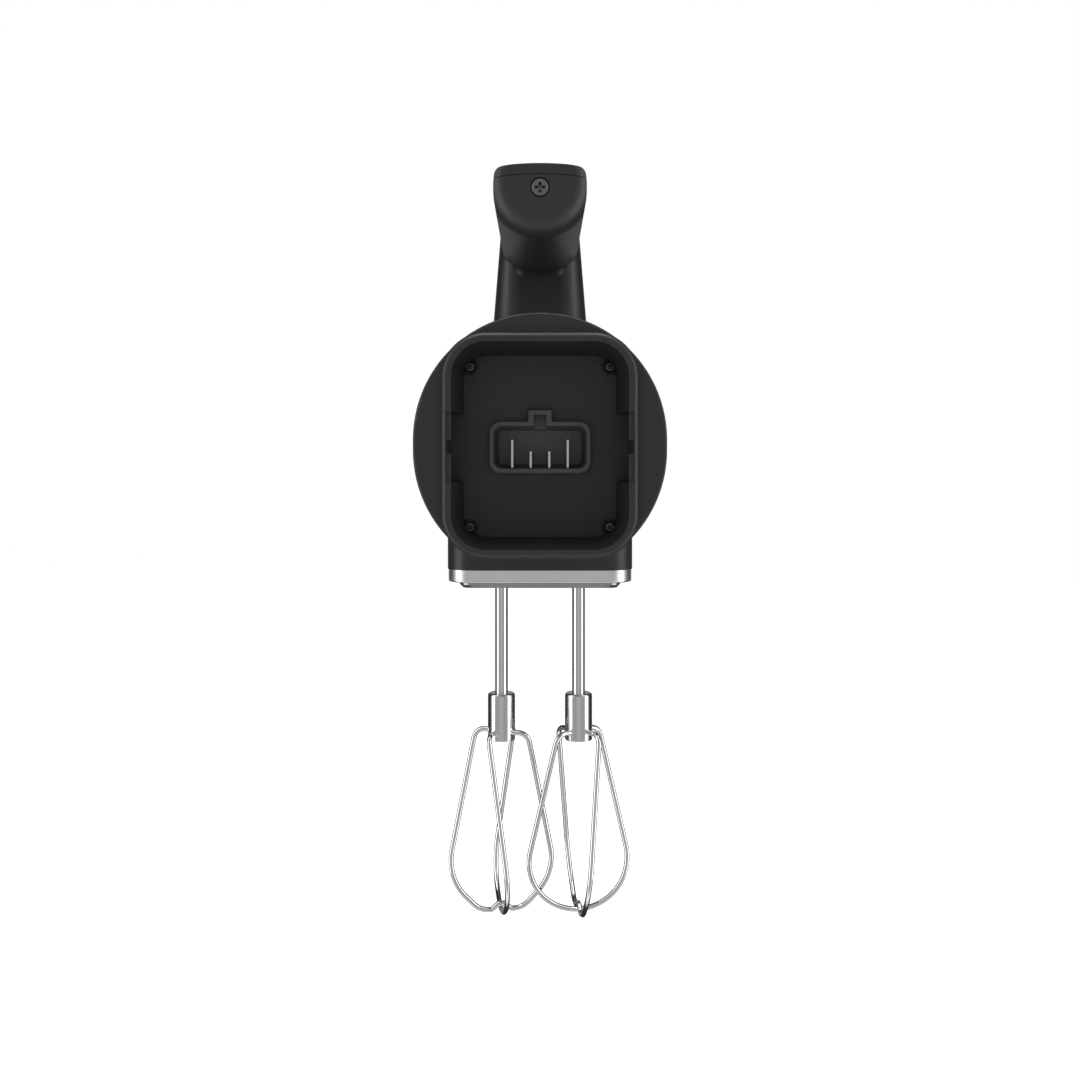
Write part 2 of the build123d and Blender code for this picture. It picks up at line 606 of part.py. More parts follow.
with BuildPart() as shaft_seals:
    for side in (-1, 1):
        add(annulus(side * AXIS_X, 0, PLATE_TOP_Z, PLATE_TOP_Z + 2.2, 8.5, SOCKET_R))
shaft_seals.part.label = "shaft_seals"
export_step(shaft_seals.part, "parts/shaft_seals.step")

with BuildPart() as worm_tail_bush:
    with BuildSketch(rearward(20.5)):
        with Locations((0, WORM_Z)):
            Circle(3.4)
            Circle(MOTOR_SHAFT_R + RUN, mode=Mode.SUBTRACT)
    extrude(amount=4)
worm_tail_bush.part.label = "worm_tail_bush"
export_step(worm_tail_bush.part, "parts/worm_tail_bush.step")


# ---- motor --------------------------------------------------------------------------------------

def motor_disc(front, length, outer, inner=0.0):
    """A disc or ring about the motor axis, running rearward from front."""
    with BuildPart() as disc:
        with BuildSketch(rearward(front)):
            with Locations((0, WORM_Z)):
                Circle(outer)
                if inner:
                    Circle(inner, mode=Mode.SUBTRACT)
        extrude(amount=length)
    return disc.part


with BuildPart() as motor_can:
    add(motor_disc(MOTOR_FRONT_Y, MOTOR_FRONT_Y - MOTOR_REAR_Y, MOTOR_R, 5.2))
    add(motor_disc(MOTOR_FRONT_Y - 1.5, MOTOR_FRONT_Y - 1.5 - MOTOR_REAR_Y, MOTOR_R - 1.3),
        mode=Mode.SUBTRACT)
    with BuildSketch(rearward(MOTOR_FRONT_Y)):
        with Locations((-9, WORM_Z), (9, WORM_Z)):
            Circle(1.2)
    extrude(amount=2, mode=Mode.SUBTRACT)
motor_can.part.label = "motor_can"
export_step(motor_can.part, "parts/motor_can.step")

with BuildPart() as motor_magnets:
    add(motor_disc(MAGNET_FRONT_Y, MAGNET_LENGTH, MOTOR_R - 1.3, ARMATURE_R + 0.6))
    with BuildSketch(rearward(MAGNET_FRONT_Y)):
        with Locations((0, WORM_Z)):
            Rectangle(2 * MOTOR_R, 12)
    extrude(amount=MAGNET_LENGTH, mode=Mode.SUBTRACT)
motor_magnets.part.label = "motor_magnets"
export_step(motor_magnets.part, "parts/motor_magnets.step")

with BuildPart() as motor_end_bell:
    add(motor_disc(MOTOR_REAR_Y, 2.5, MOTOR_R, 5.2))
    with BuildSketch(rearward(MOTOR_REAR_Y)):
        for side in (-1, 1):                # brush boxes on the inside
            with Locations((side * 11, WORM_Z)):
                Rectangle(10, 7)
                Rectangle(10, 4, mode=Mode.SUBTRACT)
    extrude(amount=-5)
motor_end_bell.part.label = "motor_end_bell"
export_step(motor_end_bell.part, "parts/motor_end_bell.step")

with BuildPart() as carbon_brushes:
    for side in (-1, 1):
        with BuildSketch(rearward(MOTOR_REAR_Y + 4.5)):
            with Locations((side * (COMMUTATOR_R + 0.15 + 2.5), WORM_Z)):
                Rectangle(5, 3.8)
        extrude(amount=3.8)
carbon_brushes.part.label = "carbon_brushes"
export_step(carbon_brushes.part, "parts/carbon_brushes.step")

with BuildPart() as brush_springs:
    for side in (-1, 1):
        with BuildLine() as coil:
            Helix(pitch=1.0, height=5.0, radius=1.4, direction=(side, 0, 0),
                  center=(side * (COMMUTATOR_R + 5.6), MOTOR_REAR_Y + 2.6, WORM_Z))
        with BuildSketch(Plane(origin=coil.line @ 0, z_dir=coil.line % 0)):
            Circle(0.22)
        sweep(path=coil.line, is_frenet=True)
brush_springs.part.label = "brush_springs"
export_step(brush_springs.part, "parts/brush_springs.step")

with BuildPart() as motor_bearings:
    add(motor_disc(MOTOR_FRONT_Y + 3.0, 4.5, 5.2, MOTOR_SHAFT_R + RUN))
    add(motor_disc(MOTOR_REAR_Y, 3.0, 5.2, MOTOR_SHAFT_R + RUN))
motor_bearings.part.label = "motor_bearings"
export_step(motor_bearings.part, "parts/motor_bearings.step")

with BuildPart() as motor_screws:
    for side in (-1, 1):
        seat = Plane(origin=(side * 9, MOTOR_FRONT_Y + 3, WORM_Z), x_dir=(1, 0, 0), z_dir=(0, 1, 0))
        add(screw(seat, 1.5, 1.1, 1.2, 4.4, "cross"))
motor_screws.part.label = "motor_screws"
export_step(motor_screws.part, "parts/motor_screws.step")

with BuildPart() as motor_shaft:
    add(motor_disc(21, 21 - MOTOR_REAR_Y + 3.4, MOTOR_SHAFT_R))
motor_shaft.part.label = "motor_shaft"
export_step(motor_shaft.part, "parts/motor_shaft.step")

with BuildPart() as armature_core:
    add(motor_disc(MAGNET_FRONT_Y - 2, MAGNET_LENGTH - 4, ARMATURE_R, MOTOR_SHAFT_R))
    with BuildSketch(rearward(MAGNET_FRONT_Y - 2)):
        with Locations((0, WORM_Z)):
            with PolarLocations(ARMATURE_R - 3.2, ARMATURE_SLOTS):
                Circle(2.6)
            with PolarLocations(ARMATURE_R - 1, ARMATURE_SLOTS):
                Rectangle(4, 1.6)
    extrude(amount=MAGNET_LENGTH - 4, mode=Mode.SUBTRACT)
armature_core.part.label = "armature_core"
export_step(armature_core.part, "parts/armature_core.step")

with BuildPart() as armature_windings:
    add(motor_disc(MAGNET_FRONT_Y - 0.5, 1.5, ARMATURE_R - 1.5, MOTOR_SHAFT_R))
    add(motor_disc(MAGNET_FRONT_Y - MAGNET_LENGTH + 2, 1.5, ARMATURE_R - 1.5, MOTOR_SHAFT_R))
    with BuildSketch(rearward(MAGNET_FRONT_Y - 2)):
        with Locations((0, WORM_Z)):
            with PolarLocations(ARMATURE_R - 3.2, ARMATURE_SLOTS):
                Circle(2.5)
    extrude(amount=MAGNET_LENGTH - 4)
armature_windings.part.label = "armature_windings"
export_step(armature_windings.part, "parts/armature_windings.step")

with BuildPart() as commutator:
    add(motor_disc(MAGNET_FRONT_Y - MAGNET_LENGTH + 0.4, 5.5, COMMUTATOR_R, MOTOR_SHAFT_R))
commutator.part.label = "commutator"
export_step(commutator.part, "parts/commutator.step")

with BuildPart() as cooling_fan:
    add(motor_disc(MOTOR_FRONT_Y - 2.2, 0.8, 14, MOTOR_SHAFT_R))
    with BuildSketch(rearward(MOTOR_FRONT_Y - 3)):
        with Locations((0, WORM_Z)):
            with PolarLocations(10, 12):
                Rectangle(7, 0.8, rotation=25)
    extrude(amount=1.6)
cooling_fan.part.label = "cooling_fan"
export_step(cooling_fan.part, "parts/cooling_fan.step")

with BuildPart() as worm_thread:            # one start of the worm, about the Z axis
    with BuildLine() as helix:
        Helix(pitch=WORM_LEAD, height=WORM_THREAD, radius=WORM_R)
    with BuildSketch(Plane(origin=helix.line @ 0, x_dir=(0, 0, 1), z_dir=helix.line % 0)):
        Trapezoid(2 * THREAD_ROOT_HALF, 2.0, 75)
    sweep(path=helix.line, is_frenet=True)

with BuildPart() as worm:
    add(motor_disc(12, 24, WORM_R - 0.95))
    for start in range(WORM_STARTS):
        # At the middle of the worm a thread faces each wheel.
        phase = 90 + 360 * start / WORM_STARTS - 180 * WORM_THREAD / WORM_LEAD
        rear_end = Plane(origin=(0, -WORM_THREAD / 2, WORM_Z), x_dir=(0, 0, 1), z_dir=(0, 1, 0))
        add(rear_end.location * Location((0, 0, 0), (0, 0, phase)) * worm_thread.part)
    add(motor_disc(12, 24, MOTOR_SHAFT_R), mode=Mode.SUBTRACT)
worm.part.label = "worm"
export_step(worm.part, "parts/worm.step")


# ---- drives -------------------------------------------------------------------------------------

for name, side in (("left", -1), ("right", 1)):
    axis_x = side * AXIS_X
    with BuildPart() as spindle:
        add(annulus(axis_x, 0, PLATE_TOP_Z + 2.8, SPINDLE_TOP_Z, SPINDLE_R, SHAFT_R + RUN))
        with BuildSketch(Plane.XY.offset(PLATE_TOP_Z)):
            with Locations((axis_x, 0)):
                Rectangle(2 * WING_X + 2 * CLEAR, WING_T + 2 * CLEAR)
        extrude(amount=WING_TOP_Z + 0.5 - PLATE_TOP_Z, mode=Mode.SUBTRACT)
    spindle.part.label = f"spindle_{name}"
    export_step(spindle.part, f"parts/spindle_{name}.step")

    with BuildPart() as wheel:
        add(annulus(axis_x, 0, FRAME_FLOOR_Z + 3.3, FRAME_CAP_Z - 0.8, BUSH_R, SPINDLE_R))
        add(annulus(axis_x, 0, WORM_Z - 4, WORM_Z + 4, WHEEL_R + 0.85, SPINDLE_R))
        lean = math.degrees(math.atan(WORM_LEAD / (2 * math.pi * WORM_R)))
        for tooth in range(WHEEL_TEETH):
            # Each gap is a straight slot, leaning with the worm's thread.
            turn = 360 * tooth / WHEEL_TEETH + (180 if side > 0 else 0)
            radial = Vector(1, 0, 0).rotate(Axis.Z, turn)
            along = Vector(0, math.sin(math.radians(lean)), math.cos(math.radians(lean))).rotate(Axis.Z, turn)
            slot = Plane(origin=Vector(axis_x, 0, WORM_Z) + radial * WHEEL_R, x_dir=radial, z_dir=along)
            with BuildSketch(slot.offset(-7)):
                Trapezoid(GAP_TIP, 2.6, 75, rotation=90, align=(Align.CENTER, Align.CENTER))
            extrude(amount=14, mode=Mode.SUBTRACT)
    wheel.part.label = f"worm_wheel_{name}"
    export_step(wheel.part, f"parts/worm_wheel_{name}.step")

    with BuildPart() as clip:
        add(annulus(axis_x, 0, FRAME_CAP_Z + 3.8, FRAME_CAP_Z + 4.6, BUSH_R, SPINDLE_R))
        with BuildSketch(Plane.XY.offset(FRAME_CAP_Z + 3)):
            with Locations((axis_x, -SPINDLE_R)):
                Rectangle(5, 8)
        extrude(amount=3, mode=Mode.SUBTRACT)
    clip.part.label = f"retaining_clip_{name}"
    export_step(clip.part, f"parts/retaining_clip_{name}.step")


# ---- beaters ------------------------------------------------------------------------------------

def loop_route(axis_x, angle, twist, humped):
    """Corners and corner radii of one wire loop, from its hole in the collar and back to it."""
    def at(radius, turn, z):
        bearing = math.radians(turn)
        return (axis_x + radius * math.cos(bearing), radius * math.sin(bearing), z)

    upper = 17.8            # the round bottom's tangents meet at these angles below its centre
    lower = 67.5
    half_span = math.radians(27.2)
    shoulder = LOOP_R / math.cos(half_span)
    heel = LOOP_R / math.cos(math.radians(90 - lower))
    bottom = LOOP_Z - LOOP_R

    half = [
        at(COLLAR_R - 2.2, angle + 47 * twist, WIRE_EXIT_Z),
        at(BEND_R, angle + 34 * twist, WIRE_EXIT_Z),
        at(shoulder * math.cos(math.radians(upper)), angle, LOOP_Z - shoulder * math.sin(math.radians(upper))),
        at(heel * math.cos(math.radians(lower)), angle, bottom),
    ]
    radii = [5.0, LOOP_R - 0.3, LOOP_R - 0.3]
    if humped:
        half += [at(4.4, angle, bottom), at(1.5, angle, bottom + HUMP)]
        radii = [5.0, LOOP_R - 0.3, 10.0, 1.7, 1.5]
    other = []
    for x, y, z in reversed(half):
        turned = Vector(x - axis_x, y, z).rotate(Axis.Z, 180)
        other.append((turned.X + axis_x, turned.Y, turned.Z))
    return half + other, radii + radii[::-1]


for name, side in (("left", -1), ("right", 1)):
    axis_x = side * AXIS_X
    with BuildPart() as shaft:
        with BuildSketch(Plane.XY.offset(WIRE_EXIT_Z + 3)):
            with Locations((axis_x, 0)):
                Circle(SHAFT_R)
        extrude(amount=SHAFT_TOP_Z - WIRE_EXIT_Z - 3)
        chamfer(shaft.faces().sort_by(Axis.Z)[-1].edges(), 0.8)
        with BuildSketch(Plane.XY.offset(SHAFT_TOP_Z - 7)):     # groove for the detent
            with Locations((axis_x, 0)):
                Circle(SHAFT_R + 1)
                Circle(SHAFT_R - 0.5, mode=Mode.SUBTRACT)
        extrude(amount=2, mode=Mode.SUBTRACT)
        with BuildSketch(Plane.XY.offset(WING_TOP_Z - 6)):      # wings that take the drive
            with Locations((axis_x, 0)):
                Rectangle(2 * WING_X, WING_T)
        extrude(amount=6)
    shaft.part.label = f"beater_{name}_shaft"
    export_step(shaft.part, f"parts/beater_{name}_shaft.step")

    loops = []
    for letter, turn, humped in (("a", 0, side > 0), ("b", 90, side < 0)):
        points, radii = loop_route(axis_x, ARM_ANGLE + turn, side, humped)
        with BuildPart() as loop:
            with BuildLine() as route:
                FilletPolyline(*points, radius=radii)
            with BuildSketch(Plane(origin=route.line @ 0, z_dir=route.line % 0)):
                Circle(WIRE_R)
            sweep(path=route.wires()[0])
        loop.part.label = f"beater_{name}_loop_{letter}"
        export_step(loop.part, f"parts/beater_{name}_loop_{letter}.step")
        loops.append(loop.part)

    with BuildPart() as collar:
        with BuildSketch(Plane.XY.offset(COLLAR_BOTTOM_Z)):
            with Locations((axis_x, 0)):
                Circle(COLLAR_R)
        extrude(amount=COLLAR_TOP_Z - COLLAR_BOTTOM_Z)
        fillet(collar.faces().sort_by(Axis.Z)[-1].edges(), 1.2)
        fillet(collar.faces().sort_by(Axis.Z)[0].edges(), 0.4)
        with BuildSketch(Plane.XY.offset(WIRE_EXIT_Z + 3)):
            with Locations((axis_x, 0)):
                Circle(SHAFT_R)
        extrude(amount=30, mode=Mode.SUBTRACT)
        for wire in loops:
            add(wire, mode=Mode.SUBTRACT)
    collar.part.label = f"beater_{name}_collar"
    export_step(collar.part, f"parts/beater_{name}_collar.step")


# ---- ejector ------------------------------------------------------------------------------------

with BuildPart() as eject_button:
    with BuildSketch(Plane.XY.offset(BUTTON_BASE_Z)):
        with Locations((0, BUTTON_Y)):
            Circle(BUTTON_R + 1.5)
    extrude(amount=2.0)
    with BuildSketch(Plane.XY.offset(BUTTON_BASE_Z)):
        with Locations((0, BUTTON_Y)):
            Circle(BUTTON_R)
    extrude(amount=BUTTON_TOP_Z - BUTTON_BASE_Z)
    fillet(eject_button.faces().sort_by(Axis.Z)[-1].edges(), 2.2)
eject_button.part.label = "eject_button"
export_step(eject_button.part, "parts/eject_button.step")

with BuildPart() as ejector_rod:
    with BuildSketch(Plane.XY.offset(YOKE_Z)):
        with Locations((0, BUTTON_Y)):
            Circle(ROD_R)
    extrude(amount=BUTTON_BASE_Z - YOKE_Z)
    with BuildSketch(Plane.XY.offset(SPRING_TOP_Z)):
        with Locations((0, BUTTON_Y)):
            Circle(5.2)
    extrude(amount=2)
ejector_rod.part.label = "ejector_rod"
export_step(ejector_rod.part, "parts/ejector_rod.step")

with BuildPart() as ejector_yoke:
    with BuildSketch(Plane.XY.offset(YOKE_Z)):
        SlotOverall(2 * AXIS_X + 8, 8)
        with Locations((0, BUTTON_Y / 2)):
            Rectangle(9, BUTTON_Y)
        with Locations((0, BUTTON_Y)):
            Circle(4.5)
            Circle(ROD_R, mode=Mode.SUBTRACT)
    extrude(amount=3)
    with BuildSketch(Plane.XY.offset(SHAFT_TOP_Z + BUTTON_TRAVEL + CLEAR)):
        with Locations((-AXIS_X, 0), (AXIS_X, 0)):
            Circle(2.2)
    extrude(amount=YOKE_Z - SHAFT_TOP_Z - BUTTON_TRAVEL - CLEAR)
ejector_yoke.part.label = "ejector_yoke"
export_step(ejector_yoke.part, "parts/ejector_yoke.step")

with BuildPart() as eject_spring:
    turns = 7
    spring_low = SPRING_BASE_Z + 0.5
    spring_high = SPRING_TOP_Z - 0.5
    with BuildLine() as coil:
        Helix(pitch=(spring_high - spring_low) / turns, height=spring_high - spring_low, radius=4.0,
              center=(0, BUTTON_Y, spring_low))
    with BuildSketch(Plane(origin=coil.line @ 0, z_dir=coil.line % 0)):
        Circle(0.4)
    sweep(path=coil.line, is_frenet=True)
eject_spring.part.label = "eject_spring"
export_step(eject_spring.part, "parts/eject_spring.step")


# ---- speed control ------------------------------------------------------------------------------

with BuildPart() as speed_slider:
    with BuildSketch(Plane.XY.offset(GRIP_TOP_Z + CLEAR)):
        with Locations((0, SLIDER_REST_Y)):
            RectangleRounded(14, 12, 3)
    extrude(amount=2.8)
    fillet(speed_slider.faces().sort_by(Axis.Z)[-1].edges(), 0.9)
    with BuildSketch(Plane.XY.offset(GRIP_TOP_Z + CLEAR + 2.8)):
        with GridLocations(1, 2.6, 1, 3):
            with Locations((0, SLIDER_REST_Y)):
                SlotOverall(9, 0.9)
    extrude(amount=0.6)
    with BuildSketch(Plane.XY.offset(WIPER_Z)):
        with Locations((0, SLIDER_REST_Y)):
            RectangleRounded(4.6, 6.4, 2)
    extrude(amount=GRIP_TOP_Z + CLEAR - WIPER_Z)
speed_slider.part.label = "speed_slider"
export_step(speed_slider.part, "parts/speed_slider.step")

with BuildPart() as slider_wiper:
    with BuildSketch(Plane.XY.offset(WIPER_Z - 0.6)):
        with Locations((0, SLIDER_REST_Y)):
            RectangleRounded(8, 9, 1)
    extrude(amount=0.6)
slider_wiper.part.label = "slider_wiper"
export_step(slider_wiper.part, "parts/slider_wiper.step")

with BuildPart() as control_board:
    with BuildSketch(Plane.XY.offset(BOARD_Z)):
        with Locations((0, (BOARD_REAR_Y + BOARD_FRONT_Y) / 2)):
            Rectangle(26, BOARD_FRONT_Y - BOARD_REAR_Y)
    extrude(amount=1.6)
    for x, y, width, depth, height in BOARD_CHIPS:
        with BuildSketch(Plane.XY.offset(BOARD_Z + 1.6)):
            with Locations((x, y)):
                Rectangle(width, depth)
        extrude(amount=height)
control_board.part.label = "control_board"
export_step(control_board.part, "parts/control_board.step")

with BuildPart() as speed_switch:
    with BuildSketch(Plane.XY.offset(BOARD_Z + 1.6)):
        with Locations((0, SLIDER_Y)):
            Rectangle(12, SLIDER_TRAVEL + 14)
    extrude(amount=WIPER_Z - 0.9 - BOARD_Z - 1.6)
speed_switch.part.label = "speed_switch"
export_step(speed_switch.part, "parts/speed_switch.step")

with BuildPart() as power_wires:
    for shift in (-1.2, 1.2):
        with BuildLine() as route:
            FilletPolyline(
                (9 + shift, BOARD_FRONT_Y, BOARD_Z + 1), (9 + shift, 24, BOARD_Z + 1),
                (9 + shift, 24, 80), (9 + shift, -50, 80), (9 + shift, -50, 68),
                (9 + shift, PLUG_FRONT_Y, 68), radius=[6, 6, 5, 4])
        with BuildSketch(Plane(origin=route.line @ 0, z_dir=route.line % 0)):
            Circle(0.9)
        sweep(path=route.wires()[0])
power_wires.part.label = "power_wires"
export_step(power_wires.part, "parts/power_wires.step")
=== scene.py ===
"""Looks of the cordless hand mixer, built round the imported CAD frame.

Metres, +Z up. The dock end faces -Y, towards the camera.
"""
import json
import math

import bpy
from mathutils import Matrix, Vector


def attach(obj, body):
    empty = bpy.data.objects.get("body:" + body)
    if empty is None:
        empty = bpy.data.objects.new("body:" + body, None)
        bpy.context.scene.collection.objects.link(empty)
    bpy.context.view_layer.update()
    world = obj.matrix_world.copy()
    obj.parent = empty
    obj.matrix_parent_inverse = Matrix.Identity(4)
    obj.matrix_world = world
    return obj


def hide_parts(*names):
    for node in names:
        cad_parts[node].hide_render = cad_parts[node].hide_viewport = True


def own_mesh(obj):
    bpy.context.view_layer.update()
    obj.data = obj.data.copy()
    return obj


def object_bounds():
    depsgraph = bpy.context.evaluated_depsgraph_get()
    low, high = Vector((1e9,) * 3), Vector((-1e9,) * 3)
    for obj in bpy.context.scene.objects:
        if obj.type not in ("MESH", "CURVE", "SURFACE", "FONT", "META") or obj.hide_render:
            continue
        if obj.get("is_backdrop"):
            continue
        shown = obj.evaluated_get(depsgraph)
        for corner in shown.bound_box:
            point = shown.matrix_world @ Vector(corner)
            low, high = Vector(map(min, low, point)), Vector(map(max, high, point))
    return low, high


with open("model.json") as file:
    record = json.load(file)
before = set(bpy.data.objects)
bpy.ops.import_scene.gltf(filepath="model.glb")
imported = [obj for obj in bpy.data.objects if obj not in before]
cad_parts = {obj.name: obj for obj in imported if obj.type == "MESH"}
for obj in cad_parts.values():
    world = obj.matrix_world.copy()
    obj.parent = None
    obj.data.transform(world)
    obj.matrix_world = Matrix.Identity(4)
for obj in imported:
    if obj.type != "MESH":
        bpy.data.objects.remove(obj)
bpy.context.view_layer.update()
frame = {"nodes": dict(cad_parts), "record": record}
nodes = frame["nodes"]
record = frame["record"]

# ---- camera -------------------------------------------------------------------------------------

CAMERA_BACK = 0.561             # distance of the camera from the beaters' plane
CAMERA_HEIGHT = 0.0573
CAMERA_NEAR = 0.01
LENS = 40.0                     # millimetres, like the sensor's width
SENSOR_WIDTH = 36.0
HORIZON_SHIFT = -0.0741         # the horizon lies above the middle of the picture

camera_data = bpy.data.cameras.new("camera")
camera_data.lens = LENS
camera_data.sensor_width = SENSOR_WIDTH
camera_data.shift_y = HORIZON_SHIFT
camera_data.clip_start = CAMERA_NEAR
camera = bpy.data.objects.new("camera", camera_data)
camera.location = (0.0, -CAMERA_BACK, CAMERA_HEIGHT)
camera.rotation_euler = (math.radians(90), 0, 0)
bpy.context.scene.collection.objects.link(camera)
bpy.context.scene.camera = camera
bpy.context.scene.view_settings.view_transform = "Standard"


# ---- material tools -----------------------------------------------------------------------------

MIX_FACTOR, MIX_FIRST, MIX_SECOND = 0, 6, 7     # colour sockets of a Mix node, whose names repeat
MIX_RESULT = 2
NOISE_LOW, NOISE_HIGH = 0.3, 0.7                # most of a noise texture's values lie between these


class Shader:
    """A material with a Principled BSDF and short ways to add nodes to it."""

    def __init__(self, name, colour, metallic, roughness):
        self.material = bpy.data.materials.new(name)
        self.material.use_nodes = True
        self.tree = self.material.node_tree
        self.bsdf = self.tree.nodes["Principled BSDF"]
        self.colour = colour
        self.set("Base Color", (*colour, 1.0))
        self.set("Metallic", metallic)
        self.set("Roughness", roughness)
        self.coordinates = self.tree.nodes.new("ShaderNodeTexCoord").outputs["Object"]

    def feed(self, socket, value):
        """Link another node's output to the socket, or give the socket a plain value."""
        if isinstance(value, bpy.types.NodeSocket):
            self.tree.links.new(value, socket)
        else:
            socket.default_value = value

    def set(self, name, value):
        self.feed(self.bsdf.inputs[name], value)

    def node(self, kind, **inputs):
        """A new node. An underscore in an input's name stands for a space."""
        made = self.tree.nodes.new(kind)
        for key, value in inputs.items():
            self.feed(made.inputs[key.replace("_", " ")], value)
        return made

    def stretched(self, scale):
        """The object's coordinates, scaled unevenly, for grain that runs one way."""
        return self.node("ShaderNodeMapping", Vector=self.coordinates, Scale=scale).outputs[0]

    def noise(self, scale, detail, vector=None, roughness=0.5):
        made = self.node("ShaderNodeTexNoise", Scale=scale, Detail=detail, Roughness=roughness,
                         Vector=vector or self.coordinates)
        return made.outputs["Fac"]

    def ramp(self, value, low, high, out_low, out_high):
        made = self.node("ShaderNodeMapRange", Value=value, From_Min=low, From_Max=high,
                         To_Min=out_low, To_Max=out_high)
        return made.outputs[0]

    def mix(self, factor, first, second):
        made = self.tree.nodes.new("ShaderNodeMix")
        made.data_type = "RGBA"
        self.feed(made.inputs[MIX_FACTOR], factor)
        self.feed(made.inputs[MIX_FIRST], first)
        self.feed(made.inputs[MIX_SECOND], second)
        return made.outputs[MIX_RESULT]

    def mottled(self, factor, darker, lighter):
        """The material's colour, multiplied by darker where the factor is 0 and by lighter where it is 1."""
        low = tuple(c * darker for c in self.colour) + (1.0,)
        high = tuple(min(1.0, c * lighter) for c in self.colour) + (1.0,)
        return self.mix(factor, low, high)

    def vary_colour(self, factor, darker, lighter):
        self.set("Base Color", self.mottled(factor, darker, lighter))

    def vary_roughness(self, noise, smoothest, roughest):
        self.set("Roughness", self.ramp(noise, NOISE_LOW, NOISE_HIGH, smoothest, roughest))

    def openness(self, reach):
        """0 deep in recesses and drive slots, 1 in the open."""
        return self.node("ShaderNodeAmbientOcclusion", Distance=reach).outputs["AO"]

    def bump(self, height, strength, distance):
        made = self.node("ShaderNodeBump", Height=height, Strength=strength, Distance=distance)
        self.set("Normal", made.outputs[0])


# ---- materials ----------------------------------------------------------------------------------

MOULD_GRAIN = 2600.0                        # noise scales, so a larger number is a finer grain
MOULD_CLOUD = 28.0
POLISH_CLOUD = 120.0
POLISH_GRAIN = 900.0
DULL_GRAIN = 900.0
BRUSH_STRETCH = (18.0, 18.0, 9000.0)        # level streaks
RING_STRETCH = (6.0, 6.0, 5200.0)           # level rings
SATIN_SPECULAR = 0.55
BRUSHED_ANISOTROPY = 0.5
# painted shade: a near-black colour put deep in the recesses of fixings, where shade falls
RECESS_SHADE_COLOUR = (0.004, 0.004, 0.004, 1.0)
SHADE_FULL, SHADE_NONE = 0.35, 0.85         # openness where the painted shade is full, and where it ends
SCREW_SLOT_SHADE_REACH = 0.0012                        # reach of the painted shade in a screw's drive slots


def moulded_plastic(name, colour, roughness):
    """Spark-eroded mould finish: a fine even grain, with a faintly cloudy tone and gloss."""
    shader = Shader(name, colour, 0.0, roughness)
    cloud = shader.noise(MOULD_CLOUD, 3.0)
    fine = shader.noise(MOULD_GRAIN, 2.0)
    shader.vary_colour(cloud, 0.92, 1.08)
    shader.vary_roughness(cloud, roughness - 0.03, roughness + 0.04)
    shader.set("Specular IOR Level", SATIN_SPECULAR)
    shader.bump(fine, 0.10, 0.00008)
    return shader.material


def brushed_steel(name, colour):
    """Steel brushed along the band, so its grain runs level round the foot."""
    shader = Shader(name, colour, 1.0, 0.28)
    streaks = shader.noise(1.0, 6.0, shader.stretched(BRUSH_STRETCH), 0.7)
    shader.vary_colour(streaks, 0.90, 1.06)
    shader.vary_roughness(streaks, 0.22, 0.36)
    shader.set("Anisotropic", BRUSHED_ANISOTROPY)
    shader.bump(streaks, 0.12, 0.00003)
    return shader.material


def polished_steel(name, colour):
    """Electropolished stainless: near mirror, with a fine grain and soft cloudiness."""
    shader = Shader(name, colour, 1.0, 0.10)
    cloud = shader.noise(POLISH_CLOUD, 3.0)
    shader.vary_colour(cloud, 0.94, 1.03)
    shader.vary_roughness(cloud, 0.07, 0.14)
    shader.bump(shader.noise(POLISH_GRAIN, 2.0), 0.03, 0.00003)
    return shader.material


def turned_steel(name, colour):
    """Polished steel with fine turning rings, as on a lathe-cut collar."""
    shader = Shader(name, colour, 1.0, 0.16)
    rings = shader.noise(1.0, 4.0, shader.stretched(RING_STRETCH), 0.6)
    shader.vary_colour(rings, 0.93, 1.03)
    shader.vary_roughness(rings, 0.12, 0.22)
    shader.bump(rings, 0.10, 0.00003)
    return shader.material


def plated_metal(name, colour, roughness, grain, shade_reach=0.0):
    """Plated or machined metal with a mottled surface, and painted shade darkening its recesses if it is a
    fixing.
    """
    shader = Shader(name, colour, 1.0, roughness)
    mottle = shader.noise(grain, 4.0)
    # painted shade: ambient occlusion darkens the colour towards near-black deep in recesses and drive slots
    if shade_reach:
        unshaded_metal = shader.mottled(mottle, 0.80, 1.15)
        unshaded_share = shader.ramp(shader.openness(shade_reach), SHADE_FULL, SHADE_NONE, 0.0, 1.0)
        shader.set("Base Color", shader.mix(unshaded_share, RECESS_SHADE_COLOUR, unshaded_metal))
    else:
        shader.vary_colour(mottle, 0.80, 1.15)
    shader.vary_roughness(mottle, roughness - 0.06, roughness + 0.10)
    shader.bump(mottle, 0.08, 0.00005)
    return shader.material


def dull_solid(name, colour, roughness):
    """Rubber, ferrite, acetal or board: no metal, a fine grain and uneven tone."""
    shader = Shader(name, colour, 0.0, roughness)
    grainy = shader.noise(DULL_GRAIN, 4.0)
    shader.vary_colour(grainy, 0.85, 1.15)
    shader.vary_roughness(grainy, roughness - 0.08, roughness + 0.08)
    shader.bump(grainy, 0.15, 0.0001)
    return shader.material


CHARCOAL = (0.0150, 0.0150, 0.0154)
CONTROL_GREY = (0.040, 0.040, 0.041)
CONNECTOR_GREY = (0.060, 0.060, 0.061)

